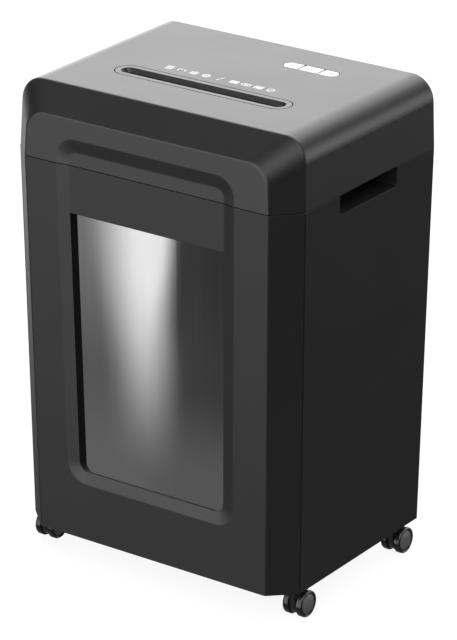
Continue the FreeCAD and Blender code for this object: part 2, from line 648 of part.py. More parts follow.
def make_cutters():
    front_phase = 0.0
    rear_phase = mesh_phase(front_phase, GEAR_TEETH, 0.0, GEAR_TEETH)
    to_idler = math.degrees(math.atan2(IDLER_Z - CUT_Z, IDLER_Y - CUT_REAR_Y))
    pinion_phase = mesh_phase(rear_phase, GEAR_TEETH, to_idler, PINION_TEETH)
    wheel_phase = 0.0
    motor_phase = mesh_phase(wheel_phase, WHEEL_TEETH, 0.0, MOTOR_TEETH)
    for name, y, shift, phase in (("front", CUT_FRONT_Y, -DISC_PITCH / 4, front_phase),
                                  ("rear", CUT_REAR_Y, DISC_PITCH / 4, rear_phase)):
        save("cutter_" + name, cutter(y, shift))
        teeth = gear(GEAR_TEETH, GEAR_M, GEAR_X0, GEAR_X1, y, CUT_Z, phase)
        save("gear_" + name, bored(teeth, SHAFT_R, y, CUT_Z))
    pinion = gear(PINION_TEETH, GEAR_M, GEAR_X0, WHEEL_X0, IDLER_Y, IDLER_Z, pinion_phase)
    wheel = gear(WHEEL_TEETH, FINE_M, WHEEL_X0, WHEEL_X1, IDLER_Y, IDLER_Z, wheel_phase)
    save("idler_gear", bored(fuse(pinion, wheel), 4.0 + RUN, IDLER_Y, IDLER_Z))
    driver = gear(MOTOR_TEETH, FINE_M, WHEEL_X0 - 1, WHEEL_X1 + 1, MOTOR_Y, MOTOR_Z, motor_phase)
    save("motor_shaft", fuse(driver, rod_x(3, MOTOR_X0 + 90, WHEEL_X1 + 3, MOTOR_Y, MOTOR_Z)))

    can = rod_x(MOTOR_R, MOTOR_X0, PLATE_X, MOTOR_Y, MOTOR_Z)
    neck = rod_x(14, MOTOR_X0 - 10, MOTOR_X0, MOTOR_Y, MOTOR_Z)
    can = fuse(can, neck).cut(rod_x(3 + RUN, MOTOR_X0 + 88, PLATE_X + 1, MOTOR_Y, MOTOR_Z))
    save("motor_body", can)

    low_z, high_z = SEAM_Z + 1 + WALL, 580.0
    y0 = CUT_FRONT_Y - 32
    for name, x0, y1 in (("left", -PLATE_X - PLATE_T, 18.0), ("right", PLATE_X, MOTOR_Y + 30)):
        plate = box(x0, x0 + PLATE_T, y0, y1, low_z, high_z)
        for y in (CUT_FRONT_Y, CUT_REAR_Y):
            plate = plate.cut(rod_x(11.1, x0 - 1, x0 + 5, y, CUT_Z))
        for y, z in rod_places():
            plate = plate.cut(rod_x(2.6, x0 - 1, x0 + 5, y, z))
        if name == "right":
            plate = plate.cut(rod_x(3 + RUN, x0 - 1, x0 + 5, MOTOR_Y, MOTOR_Z))
            plate = plate.fuse(rod_x(4, x0, WHEEL_X1 + 2, IDLER_Y, IDLER_Z))
        save("cutter_plate_" + name, plate)

    bushes = []
    for x0 in (-PLATE_X - PLATE_T - 1, PLATE_X - 1):
        for y in (CUT_FRONT_Y, CUT_REAR_Y):
            bush = rod_x(11, x0, x0 + PLATE_T + 2, y, CUT_Z)
            bushes.append(bush.cut(rod_x(SHAFT_R + RUN, x0 - 1, x0 + 9, y, CUT_Z)))
    save("shaft_bushes", group(bushes))

    rods = []
    for y, z in rod_places():
        tie = rod_x(4, -PLATE_X, PLATE_X, y, z).fuse(rod_x(2.5, -PLATE_X - 8, PLATE_X + 8, y, z))
        left_nut = rod_x(4, -PLATE_X - 7, -PLATE_X - PLATE_T, y, z)
        rods.append(fuse(tie, left_nut, rod_x(4, PLATE_X + PLATE_T, PLATE_X + 7, y, z)))
    save("tie_rods", group(rods))

    for name, y, side, shift in (("front", CUT_FRONT_Y, -1, -DISC_PITCH / 4),
                                 ("rear", CUT_REAR_Y, 1, DISC_PITCH / 4)):
        near, far, back = y + side * (CORE_R + 0.7), y + side * 24, y + side * 27
        bar = box(-PLATE_X, PLATE_X, min(far, back), max(far, back), CUT_Z - 12, CUT_Z + 12)
        fingers = []
        for i in range(DISC_COUNT - 1):
            x = (i + 0.5 - (DISC_COUNT - 1) / 2) * DISC_PITCH + shift
            fingers.append(box(x - 1.6, x + 1.6, min(near, far), max(near, far),
                               CUT_Z - 5, CUT_Z + 5))
        save("comb_" + name, bar.fuse(fingers))

    x0, x1 = PLATE_X + PLATE_T, WHEEL_X1 + 10
    shell = box(x0, x1, y0 - 1, MOTOR_Y + 26, low_z, high_z + 2)
    shell = shell.cut(box(x0 - 1, x1 - 2, y0 + 1, MOTOR_Y + 24, low_z + 2, high_z))
    save("gearbox_cover", shell)


def rod_places():
    return [(CUT_FRONT_Y - 22, CUT_Z - 19), (CUT_FRONT_Y - 22, CUT_Z + 30),
            (CUT_REAR_Y + 25, CUT_Z - 19), (CUT_REAR_Y + 25, CUT_Z + 30)]


# ---- rear fittings and screws -------------------------------------------------------------------
def make_rear():
    face = REAR_SEAM
    inlet = box(INLET_X - 14, INLET_X + 14, face - 24, face, INLET_Z - 10.4, INLET_Z + 10.4)
    flange_plan = [(INLET_X - 25, INLET_Z - 12), (INLET_X + 25, INLET_Z - 12),
                   (INLET_X + 25, INLET_Z + 12), (INLET_X - 25, INLET_Z + 12)]
    flange = extrude(outline(flange_plan, [4] * 4, flat(face)), V(0, 2, 0))
    room_plan = [(INLET_X - 12, INLET_Z - 8.2), (INLET_X + 12, INLET_Z - 8.2),
                 (INLET_X + 12, INLET_Z + 8.2), (INLET_X - 12, INLET_Z + 8.2)]
    room = extrude(outline(room_plan, [1, 1, 6, 6], flat(face - 17)), V(0, 22, 0))
    inlet = fuse(inlet, flange).cut(room)
    for side in (-1, 1):
        inlet = inlet.cut(rod_y(1.8, face - 1, face + 3, INLET_X + side * INLET_SCREW, INLET_Z))
    for dx, dz in ((-7, -2.5), (7, -2.5), (0, 2.5)):
        x, z = INLET_X + dx, INLET_Z + dz
        inlet = inlet.fuse(box(x - 1, x + 1, face - 18, face - 3, z - 2, z + 2))
    save("power_inlet", inlet.removeSplitter())

    housing = box(SWITCH_X - 9.8, SWITCH_X + 9.8, face - 16, face, SWITCH_Z - 6.8, SWITCH_Z + 6.8)
    rim_plan = [(SWITCH_X - 11.5, SWITCH_Z - 8.5), (SWITCH_X + 11.5, SWITCH_Z - 8.5),
                (SWITCH_X + 11.5, SWITCH_Z + 8.5), (SWITCH_X - 11.5, SWITCH_Z + 8.5)]
    housing = fuse(housing, extrude(outline(rim_plan, [1.5] * 4, flat(face)), V(0, 1.6, 0)))
    room = box(SWITCH_X - 8.4, SWITCH_X + 8.4, face - 12, face + 3, SWITCH_Z - 5.4, SWITCH_Z + 5.4)
    pivot_holes = rod_z(PIVOT_R + RUN, SWITCH_Z - 6.3, SWITCH_Z + 6.3, SWITCH_X, face - 2)
    save("switch_housing", housing.cut(room).cut(pivot_holes))
    plan = [(SWITCH_X - 7.4, face - 2.4), (SWITCH_X, face - 5.5), (SWITCH_X + 7.4, face - 2.4),
            (SWITCH_X + 7.6, face + 1.9), (SWITCH_X, face + 0.9), (SWITCH_X - 7.6, face + 1.9)]
    rocker = extrude(outline(plan, [0, 2, 0, 0.5, 8, 0.5], level(SWITCH_Z - 5.1)), V(0, 0, 10.2))
    rocker.rotate(V(SWITCH_X, face - 2, SWITCH_Z), V(0, 0, 1), ROCKER_TILT)
    pivot = rod_z(PIVOT_R, SWITCH_Z - 6.2, SWITCH_Z + 6.2, SWITCH_X, face - 2)
    save("switch_rocker", fuse(rocker, pivot))

    screws = []
    for z in BACK_SCREW_Z:
        for x in (half_width(z) - 30, 30 - half_width(z)):
            screws.append(screw(x, rear_y(z) - 0.6 + TILT_GAP, z, (0, -1, 0)))
    for side in (-1, 1):
        screws.append(screw(side * HEAD_SCREW_X, REAR_SEAM, HEAD_SCREW_Z, (0, -1, 0)))
        screws.append(screw(INLET_X + side * INLET_SCREW, REAR_SEAM + 2, INLET_Z, (0, -1, 0),
                            head_r=2.8, head_t=1.4))
    save("case_screws", group(screws))


# ---- casters -----------------------------------------------------------------------------------
def caster_places():
    return [(side * CASTER_X, y) for y in (CASTER_Y_FRONT, CASTER_Y_REAR) for side in (-1, 1)]


def caster_hood(x, y):
    """Web between the wheels with a collar on top that the stem turns in."""
    wheel_y = y + TRAIL
    web = rod_x(14.0, x - 4.4, x + 4.4, wheel_y, WHEEL_R)
    collar = rod_z(7.4, 14.0, BASE_Z - 0.5, x, y)
    hood = fuse(web, collar)
    for side in (-1, 1):
        near, far = x + side * 4.6, x + side * 20
        hood = hood.cut(rod_x(17.1, min(near, far), max(near, far), wheel_y, WHEEL_R))
    hood = bored(hood, AXLE_R + RUN, wheel_y, WHEEL_R)
    return hood.cut(rod_z(STEM_R, 20, 60, x, y))


def wheel_profile():
    """(radius, distance from the middle) round half a wheel: tread, rim bead, groove, domed cap."""
    points = [(AXLE_R, WHEEL_IN), (WHEEL_R - 1.2, WHEEL_IN), (WHEEL_R, WHEEL_IN + 1.2),
              (WHEEL_R, 11.8), (WHEEL_R - 0.7, 13.1), (WHEEL_R - 1.9, 13.5), (WHEEL_R - 3.0, 12.9),
              (WHEEL_R - 3.5, 11.8)]
    cap_r, cap_rise = WHEEL_R - 4.2, WHEEL_OUT - 12.0
    for step in range(7):
        angle = math.radians(15 * step)
        points.append((cap_r * math.cos(angle), 12.0 + cap_rise * math.sin(angle)))
    return points + [(0.0, WHEEL_IN + 4), (AXLE_R, WHEEL_IN + 4)]


def make_casters():
    sockets = []
    for x, y in caster_places():
        tube = rod_z(7.0, BASE_Z, STEM_TOP + 3, x, y)
        sockets.append(tube.cut(rod_z(STEM_R + RUN, BASE_Z - 1, STEM_TOP + 0.5, x, y)))
    save("caster_sockets", group(sockets))

    for name, (x, y) in zip(("fl", "fr", "rl", "rr"), caster_places()):
        wheel_y = y + TRAIL
        save("caster_" + name + "_hood", caster_hood(x, y))
        save("caster_" + name + "_stem", rod_z(STEM_R, 20.05, STEM_TOP, x, y))
        pair = [rod_x(AXLE_R, x - WHEEL_IN - 4, x + WHEEL_IN + 4, wheel_y, WHEEL_R)]
        for side in (-1, 1):
            ring = [V(x + side * across, wheel_y + radius, WHEEL_R) for radius, across in wheel_profile()]
            face = Part.Face(Part.makePolygon(ring + [ring[0]]))
            pair.append(face.revolve(V(x, wheel_y, WHEEL_R), V(1, 0, 0), 360))
        save("caster_" + name + "_wheels", group(pair))


make_head()
make_keys()
make_panels()
make_bin()
make_cutters()
make_rear()
make_casters()
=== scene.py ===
import json
import math

import bmesh
import bpy
from mathutils import Matrix, Vector


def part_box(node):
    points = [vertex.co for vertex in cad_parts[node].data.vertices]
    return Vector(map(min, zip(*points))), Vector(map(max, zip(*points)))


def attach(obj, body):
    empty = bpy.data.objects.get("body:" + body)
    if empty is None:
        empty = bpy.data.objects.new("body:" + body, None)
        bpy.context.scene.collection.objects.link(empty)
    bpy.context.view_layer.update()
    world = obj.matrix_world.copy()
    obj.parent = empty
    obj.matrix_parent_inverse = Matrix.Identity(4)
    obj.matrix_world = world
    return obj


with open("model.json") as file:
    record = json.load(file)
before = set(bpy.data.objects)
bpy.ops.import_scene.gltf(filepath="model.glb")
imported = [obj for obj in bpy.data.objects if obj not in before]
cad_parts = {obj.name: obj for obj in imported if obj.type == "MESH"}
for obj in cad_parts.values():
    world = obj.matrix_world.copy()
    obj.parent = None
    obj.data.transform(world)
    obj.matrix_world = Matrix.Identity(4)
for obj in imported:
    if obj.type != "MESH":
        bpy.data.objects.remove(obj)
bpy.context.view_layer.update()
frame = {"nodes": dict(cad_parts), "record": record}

# Paper shredder, drawn around its CAD frame. Lengths named here are in millimetres and are turned
# to metres with MM. +Z is up and the front, with the bin window, faces -Y.
MM = 0.001
scene = bpy.context.scene
scene.view_settings.view_transform = "Standard"
nodes = frame["nodes"]


# ---- camera ------------------------------------------------------------------------------------
LENS, FILM_WIDTH = 208.06, 36.0
CAMERA_PLACE = (2379.9, -3317.0, 1982.0)
CAMERA_TURN = (67.576, 0.096, 35.472)


def make_camera():
    """A long lens, from the front right and above, that looks down at the machine."""
    data = bpy.data.cameras.new("camera")
    data.sensor_width = FILM_WIDTH
    data.lens = LENS
    data.clip_end = 50.0
    camera = bpy.data.objects.new("camera", data)
    camera.location = Vector(CAMERA_PLACE) * MM
    camera.rotation_euler = [math.radians(a) for a in CAMERA_TURN]
    scene.collection.objects.link(camera)
    scene.camera = camera


make_camera()


# ---- small helpers -----------------------------------------------------------------------------
# Kinds of node that are used most.
MATH = "ShaderNodeMath"
RANGE = "ShaderNodeMapRange"
MIX = "ShaderNodeMix"
XYZ = "ShaderNodeCombineXYZ"
# Settings that many nodes share: a soft-ended ramp, and the span that most noise values lie in.
SMOOTH = {"interpolation_type": "SMOOTHSTEP"}
NOISE_SPAN = {"From Min": 0.3, "From Max": 0.7}


def colour(hex_value):
    """sRGB hex such as "3a3a3c" to linear RGBA."""
    parts = [int(hex_value[i:i + 2], 16) / 255 for i in (0, 2, 4)]
    return [p / 12.92 if p <= 0.04045 else ((p + 0.055) / 1.055) ** 2.4 for p in parts] + [1.0]


def add(tree, kind, settings=None, links=None):
    """Adds a node: settings hold its properties and socket values, links join outputs to its sockets."""
    made = tree.nodes.new(kind)
    for key, value in (settings or {}).items():
        if isinstance(key, str) and hasattr(made, key):
            setattr(made, key, value)
        else:
            made.inputs[key].default_value = value
    for key, output in (links or {}).items():
        tree.links.new(output, made.inputs[key])
    return made


def new_object(name, mesh, material, body):
    """A finished piece at the origin with its finish, riding on a body."""
    piece = bpy.data.objects.new(name, mesh)
    scene.collection.objects.link(piece)
    mesh.materials.clear()
    mesh.materials.append(material)
    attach(piece, body)
    return piece


# ---- studio ------------------------------------------------------------------------------------
# Each soft light of the tent: the direction it lies in, its full and its outer half-angle in
# degrees, its strength, and the heights (-1 down to 1 up) between which its lower edge fades in.
TENT_LIGHTS = [
    ("rear overhead", (-0.52, 0.75, 0.42), 23, 47, 2.85, None),
    ("front", (-0.21, -0.98, 0.04), 18, 50, 2.4, (-0.43, -0.27)),
    ("left side", (-0.85, 0.45, -0.22), 12, 27, 0.85, (-0.42, -0.32)),
    ("high front corner", (0.57, -0.47, 0.68), 13, 30, 2.65, None),
    ("right rear strip", (0.66, 0.75, 0.0), 6, 27, 2.2, (-0.30, -0.06)),
    ("right rear fill", (0.28, 0.75, 0.60), 6, 26, 0.65, None),
    ("top", (0.0, 0.0, 1.0), 10, 80, 0.35, None),
    ("floor bounce", (0.0, 0.0, -1.0), 20, 74, 0.24, None),
]
TENT_BASE = 0.04


def make_tent():
    """A light tent: an even dim surround with broad soft lights that fade out at their edges."""
    world = bpy.data.worlds.new("light tent")
    scene.world = world
    world.use_nodes = True
    tree = world.node_tree
    tree.nodes.clear()
    where = add(tree, "ShaderNodeTexCoord")
    unit = add(tree, "ShaderNodeVectorMath", {"operation": "NORMALIZE"}, {0: where.outputs["Generated"]})
    height = add(tree, "ShaderNodeSeparateXYZ", {}, {0: unit.outputs[0]}).outputs["Z"]
    base = add(tree, "ShaderNodeValue", {"label": "base"})
    base.outputs[0].default_value = TENT_BASE
    total = base
    for name, direction, full, outer, strength, sill in TENT_LIGHTS:
        along = add(tree, "ShaderNodeVectorMath",
                    {"operation": "DOT_PRODUCT", 1: Vector(direction).normalized(), "label": name},
                    {0: unit.outputs[0]})
        cone = {"From Min": math.cos(math.radians(outer)), "From Max": math.cos(math.radians(full)),
                "To Max": strength}
        glow = add(tree, RANGE, SMOOTH | cone, {"Value": along.outputs["Value"]})
        if sill:
            rise = add(tree, RANGE, SMOOTH | {"From Min": sill[0], "From Max": sill[1]}, {"Value": height})
            glow = add(tree, MATH, {"operation": "MULTIPLY"}, {0: glow.outputs[0], 1: rise.outputs[0]})
        total = add(tree, MATH, {"operation": "ADD"}, {0: glow.outputs[0], 1: total.outputs[0]})
    background = add(tree, "ShaderNodeBackground", {"Color": colour("ffffff")},
                     {"Strength": total.outputs[0]})
    add(tree, "ShaderNodeOutputWorld", {}, {"Surface": background.outputs[0]})


FLOOR_SIZE_M = 60.0
FLOOR_GLOW = 0.9


def make_floor():
    """A plain pale sweep that glows a little, so that shadows on it stay faint.

    The machine neither mirrors it nor is lit by it: the tent's floor bounce does that softly."""
    bpy.ops.mesh.primitive_plane_add(size=FLOOR_SIZE_M)
    floor = bpy.context.object
    floor.name = "floor"
    material = bpy.data.materials.new("paper sweep")
    material.use_nodes = True
    tree = material.node_tree
    tree.nodes.clear()
    paper = add(tree, "ShaderNodeBsdfDiffuse", {"Color": colour("707070")})
    glow = add(tree, "ShaderNodeEmission", {"Color": colour("ffffff"), "Strength": FLOOR_GLOW})
    both = add(tree, "ShaderNodeAddShader", {}, {0: paper.outputs[0], 1: glow.outputs[0]})
    add(tree, "ShaderNodeOutputMaterial", {}, {"Surface": both.outputs[0]})
    floor.data.materials.append(material)
    floor.visible_glossy = False
    floor.visible_diffuse = False


# The card that the window mirrors: where it stands, in millimetres, and how bright it gets.
CARD_Y = -600.0
CARD_LEFT, CARD_RIGHT = -560.0, -150.0
CARD_LOW, CARD_HIGH = -240.0, 320.0
CARD_GLOW = 15.4
CARD_LEFT_END = -0.360
# How the light on the card changes along X or Z: the place, in metres, where each ramp starts and
# ends, and its value at both. The edges and the blur are places themselves, in metres too.
CARD_RAMPS = [
    ("right edge", "Z", 0.06, 0.23, -0.342, -0.324),
    ("right blur", "Z", 0.0, 0.22, 0.038, 0.010),
    ("left edge", "Z", -0.03, 0.23, -0.442, -0.475),
    ("brightness", "Z", -0.16, 0.16, 0.0, CARD_GLOW),
    ("left haze across", "X", -0.32, -0.40, 0.0, 1.0),
    ("left haze up", "Z", -0.15, 0.23, 1.0, 2.8),
    ("low haze", "Z", 0.02, -0.14, 0.0, 1.05),
    ("right haze across", "X", -0.40, -0.31, 0.0, 1.0),
    ("right haze up", "Z", 0.22, 0.02, 0.2, 0.68),
]


def make_card(receiver):
    """A light card that only the window mirrors: a tall soft glow with a sharp right side.

    The glow is wide and crisp at the top of the card and grows narrow, dim and soft down it."""
    mesh = bpy.data.meshes.new("window card")
    mesh.from_pydata([Vector(c) * MM for c in (
        (CARD_LEFT, CARD_Y, CARD_LOW), (CARD_RIGHT, CARD_Y, CARD_LOW),
        (CARD_RIGHT, CARD_Y, CARD_HIGH), (CARD_LEFT, CARD_Y, CARD_HIGH))], [], [(0, 1, 2, 3)])
    card = bpy.data.objects.new("window card", mesh)
    scene.collection.objects.link(card)
    material = bpy.data.materials.new("card glow")
    material.use_nodes = True
    tree = material.node_tree
    tree.nodes.clear()
    place = add(tree, "ShaderNodeTexCoord")
    where = add(tree, "ShaderNodeSeparateXYZ", {}, {0: place.outputs["Object"]})
    ramps = {}
    for name, axis, start, end, low, high in CARD_RAMPS:
        ramp = add(tree, RANGE, SMOOTH | {"label": name, "From Min": start, "From Max": end,
                                          "To Min": low, "To Max": high}, {"Value": where.outputs[axis]})
        ramps[name] = ramp.outputs[0]
    edge = {0: ramps["right edge"], 1: ramps["right blur"]}
    dark_end = add(tree, MATH, {"operation": "ADD"}, edge)
    light_end = add(tree, MATH, {"operation": "SUBTRACT"}, edge)
    right = add(tree, RANGE, SMOOTH, {"Value": where.outputs["X"], "From Min": dark_end.outputs[0],
                                      "From Max": light_end.outputs[0]})
    left = add(tree, RANGE, SMOOTH | {"From Max": CARD_LEFT_END},
               {"Value": where.outputs["X"], "From Min": ramps["left edge"]})
    band = add(tree, MATH, {"operation": "MULTIPLY"}, {0: left.outputs[0], 1: right.outputs[0]})
    total = ramps["low haze"]
    for first, second in ((band.outputs[0], ramps["brightness"]),
                          (ramps["left haze across"], ramps["left haze up"]),
                          (ramps["right haze across"], ramps["right haze up"])):
        total = add(tree, MATH, {"operation": "MULTIPLY_ADD"}, {0: first, 1: second, 2: total}).outputs[0]
    light = add(tree, "ShaderNodeEmission", {}, {"Strength": total})
    clear = add(tree, "ShaderNodeBsdfTransparent")
    both = add(tree, "ShaderNodeAddShader", {}, {0: light.outputs[0], 1: clear.outputs[0]})
    add(tree, "ShaderNodeOutputMaterial", {}, {"Surface": both.outputs[0]})
    mesh.materials.append(material)
    card.visible_camera = False
    card.visible_diffuse = False
    card.visible_shadow = False
    card.visible_transmission = False
    lit = bpy.data.collections.new("lit by the window card")
    lit.objects.link(receiver)
    card.light_linking.receiver_collection = lit


make_tent()
make_floor()
make_card(nodes["window_pane"])
# The window doesn't mirror the walls of its own recess, so the card shows in it from edge to edge.
nodes["bin_front"].visible_glossy = False


# ---- materials ---------------------------------------------------------------------------------
def start_material(name):
    """An empty material with its output, a Principled shader and the object coordinates."""
    material = bpy.data.materials.new(name)
    material.use_nodes = True
    tree = material.node_tree
    tree.nodes.clear()
    shader = add(tree, "ShaderNodeBsdfPrincipled")
    add(tree, "ShaderNodeOutputMaterial", {}, {"Surface": shader.outputs[0]})
    place = add(tree, "ShaderNodeTexCoord")
    return material, tree, shader, place.outputs["Object"]


def noise(tree, place, size_mm, detail=2.0, stretch=(1, 1, 1)):
    """A pattern of blobs about size_mm across, drawn out along an axis by stretch."""
    mapped = add(tree, "ShaderNodeMapping", {"Scale": [1 / s for s in stretch]}, {"Vector": place})
    return add(tree, "ShaderNodeTexNoise", {"Scale": 1 / (size_mm * MM), "Detail": detail},
               {"Vector": mapped.outputs[0]}).outputs["Fac"]


EDGE_RADIUS = 0.7
# The cosine between the rounded and the true normal where wear starts, and where it is full.
WEAR_START, WEAR_FULL = 0.995, 0.90


def edge_wear(tree):
    """1 along sharp outer and inner edges and 0 on flat ground, with the rounded normal it comes from."""
    rounded = add(tree, "ShaderNodeBevel", {"samples": 4, "Radius": EDGE_RADIUS * MM})
    geometry = add(tree, "ShaderNodeNewGeometry")
    along = add(tree, "ShaderNodeVectorMath", {"operation": "DOT_PRODUCT"},
                {0: rounded.outputs[0], 1: geometry.outputs["Normal"]})
    mask = add(tree, RANGE, {"From Min": WEAR_START, "From Max": WEAR_FULL},
               {"Value": along.outputs["Value"]})
    return mask.outputs[0], rounded.outputs[0]


# Sizes of the slow drift in tone and of the rubs on moulded plastic, and how much they change.
DRIFT_SIZE, RUB_SIZE = 70.0, 9.0
TONE_SPAN = {"To Min": 0.96, "To Max": 1.04}
RUB_SPAN = {"To Min": 0.2, "To Max": 1.0}
RUB_GLOSS = {"To Min": -0.006, "To Max": 0.008}
GLOSS_DRIFT = 0.012


def moulded(name, hex_value, worn_hex, roughness, grain_mm, grain_depth_mm, specular=0.5, wear=0.35):
    """Injection-moulded plastic: fine eroded grain, slow gloss changes, faint rubs and rubbed edges."""
    material, tree, shader, place = start_material(name)
    drift = noise(tree, place, DRIFT_SIZE, 3.0)
    rubs = noise(tree, place, RUB_SIZE, 4.0, (7, 1, 1))
    grain = noise(tree, place, grain_mm, 3.0)
    mask, rounded = edge_wear(tree)
    edge = add(tree, MATH, {"operation": "MULTIPLY", 1: wear}, {0: mask})
    patches = add(tree, RANGE, NOISE_SPAN | RUB_SPAN, {"Value": rubs})
    fleck = add(tree, MATH, {"operation": "MULTIPLY"}, {0: edge.outputs[0], 1: patches.outputs[0]})
    base = add(tree, MIX, {"data_type": "RGBA", 6: colour(hex_value), 7: colour(worn_hex)},
               {0: fleck.outputs[0]})
    shade = add(tree, RANGE, NOISE_SPAN | TONE_SPAN, {"Value": drift})
    tone = add(tree, "ShaderNodeHueSaturation", {"Saturation": 1.0},
               {"Value": shade.outputs[0], "Color": base.outputs[2]})
    tree.links.new(tone.outputs[0], shader.inputs["Base Color"])
    gloss_span = {"To Min": roughness - GLOSS_DRIFT, "To Max": roughness + GLOSS_DRIFT}
    slow = add(tree, RANGE, NOISE_SPAN | gloss_span, {"Value": drift})
    quick = add(tree, RANGE, NOISE_SPAN | RUB_GLOSS, {"Value": rubs})
    gloss = add(tree, MATH, {"operation": "ADD"}, {0: slow.outputs[0], 1: quick.outputs[0]})
    tree.links.new(gloss.outputs[0], shader.inputs["Roughness"])
    bump = add(tree, "ShaderNodeBump", {"Strength": 0.6, "Distance": grain_depth_mm * MM},
               {"Height": grain, "Normal": rounded})
    tree.links.new(bump.outputs[0], shader.inputs["Normal"])
    shader.inputs["Specular IOR Level"].default_value = specular
    return material


def blend_finish(material, mask, hex_value, duller):
    """Another colour and a duller surface take over a material where the mask is 1."""
    tree = material.node_tree
    shader = tree.nodes["Principled BSDF"]
    own = shader.inputs["Base Color"].links[0].from_socket
    both = add(tree, MIX, {"data_type": "RGBA", 7: colour(hex_value)}, {0: mask, 6: own})
    tree.links.new(both.outputs[2], shader.inputs["Base Color"])
    gloss = shader.inputs["Roughness"].links[0].from_socket
    extra = add(tree, MATH, {"operation": "MULTIPLY", 1: duller}, {0: mask})
    dull = add(tree, MATH, {"operation": "ADD"}, {0: gloss, 1: extra.outputs[0]})
    tree.links.new(dull.outputs[0], shader.inputs["Roughness"])


# How far below the top face the painted shade in the throat starts, and where it is fully dark.
THROAT_START, THROAT_DARK = 5.0, 6.4


def paint_throat_shade(material):
    """Paints shade into the collar where the throat drops away: an unlit black colour and a duller surface.
    """
    tree = material.node_tree
    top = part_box("head_cover")[1][2]
    place = add(tree, "ShaderNodeTexCoord")
    height = add(tree, "ShaderNodeSeparateXYZ", {}, {0: place.outputs["Object"]})
    depths = {"From Min": top - THROAT_START * MM, "From Max": top - THROAT_DARK * MM}
    deep = add(tree, RANGE, SMOOTH | depths, {"Value": height.outputs["Z"]})
    blend_finish(material, deep.outputs[0], "040404", 0.5)


CAP_R, CAP_EDGE = 12.4, 0.6
# Moulded nylon, polished: black with sharp highlights. The wheels are the same, with a cap.
NYLON = {"hex_value": "171718", "worn_hex": "303032", "roughness": 0.2, "grain_mm": 1.6,
         "grain_depth_mm": 0.006, "wear": 0.4}


def wheel_nylon(node, corner):
    """Polished black nylon tread with a satin grey cap inside the rim, centred on the axle."""
    low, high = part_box(node)
    material = moulded("moulded nylon, black with grey cap, " + corner, **NYLON)
    tree = material.node_tree
    place = add(tree, "ShaderNodeTexCoord")
    centre = [-(a + b) / 2 for a, b in zip(low, high)]
    centred = add(tree, "ShaderNodeMapping", {"Location": centre}, {"Vector": place.outputs["Object"]})
    across = add(tree, "ShaderNodeVectorMath", {"operation": "MULTIPLY", 1: (0, 1, 1)},
                 {0: centred.outputs[0]})
    reach = add(tree, "ShaderNodeVectorMath", {"operation": "LENGTH"}, {0: across.outputs[0]})
    rim = {"From Min": CAP_R * MM, "From Max": (CAP_R - CAP_EDGE) * MM}
    cap = add(tree, RANGE, SMOOTH | rim, {"Value": reach.outputs["Value"]})
    blend_finish(material, cap.outputs[0], "5c5c5e", 0.25)
    return material


def metal(name, hex_value, dark_hex, roughness, line_mm, stretch, depth_mm):
    """Bare metal with drawn-out machining or rolling lines and slow tarnish."""
    material, tree, shader, place = start_material(name)
    lines = noise(tree, place, line_mm, 4.0, stretch)
    tarnish = add(tree, RANGE, {"From Min": 0.4, "From Max": 0.8, "To Max": 0.8},
                  {"Value": noise(tree, place, 18.0, 4.0)})
    base = add(tree, MIX, {"data_type": "RGBA", 6: colour(hex_value), 7: colour(dark_hex)},
               {0: tarnish.outputs[0]})
    tree.links.new(base.outputs[2], shader.inputs["Base Color"])
    gloss = add(tree, RANGE, NOISE_SPAN | {"To Min": roughness - 0.08, "To Max": roughness + 0.1},
                {"Value": lines})
    tree.links.new(gloss.outputs[0], shader.inputs["Roughness"])
    bump = add(tree, "ShaderNodeBump", {"Strength": 0.5, "Distance": depth_mm * MM}, {"Height": lines})
    tree.links.new(bump.outputs[0], shader.inputs["Normal"])
    shader.inputs["Metallic"].default_value = 1.0
    return material


def smoked_acrylic():
    """Smoked acrylic sheet: near-black and glossy, with faint drawn streaks down its height."""
    material, tree, shader, place = start_material("smoked acrylic sheet, polished")
    streaks = noise(tree, place, 3.0, 3.0, (1, 1, 60))
    broad = noise(tree, place, 14.0, 2.0, (1, 1, 40))
    haze = add(tree, MATH, {"operation": "MULTIPLY"}, {0: streaks, 1: broad})
    gloss = add(tree, RANGE, {"From Min": 0.12, "From Max": 0.4, "To Min": 0.045, "To Max": 0.085},
                {"Value": haze.outputs[0]})
    tree.links.new(gloss.outputs[0], shader.inputs["Roughness"])
    tone = add(tree, RANGE, NOISE_SPAN, {"Value": broad})
    base = add(tree, MIX, {"data_type": "RGBA", 6: colour("0c0c0d"), 7: colour("171718")},
               {0: tone.outputs[0]})
    tree.links.new(base.outputs[2], shader.inputs["Base Color"])
    bump = add(tree, "ShaderNodeBump", {"Strength": 0.25, "Distance": 0.01 * MM}, {"Height": streaks})
    tree.links.new(bump.outputs[0], shader.inputs["Normal"])
    return material


WEAVE_PITCH = 1.2
# The wave pattern repeats once in this many units at a scale of 1.
WAVE_TURN = 6.28


def circuit_board():
    """Glass-fibre board with green solder resist: a fine weave shows under the lacquer."""
    material, tree, shader, place = start_material("glass-fibre circuit board, green resist")
    weave = add(tree, "ShaderNodeTexWave", {"Scale": 1 / (WEAVE_PITCH * MM) / WAVE_TURN, "Distortion": 0.4},
                {"Vector": place})
    base = add(tree, MIX, {"data_type": "RGBA", 6: colour("0f4a2a"), 7: colour("15613a")},
               {0: weave.outputs["Fac"]})
    tree.links.new(base.outputs[2], shader.inputs["Base Color"])
    gloss = add(tree, RANGE, NOISE_SPAN | {"To Min": 0.22, "To Max": 0.34},
                {"Value": noise(tree, place, 12.0)})
    tree.links.new(gloss.outputs[0], shader.inputs["Roughness"])
    bump = add(tree, "ShaderNodeBump", {"Strength": 0.3, "Distance": 0.02 * MM},
               {"Height": weave.outputs["Fac"]})
    tree.links.new(bump.outputs[0], shader.inputs["Normal"])
    return material


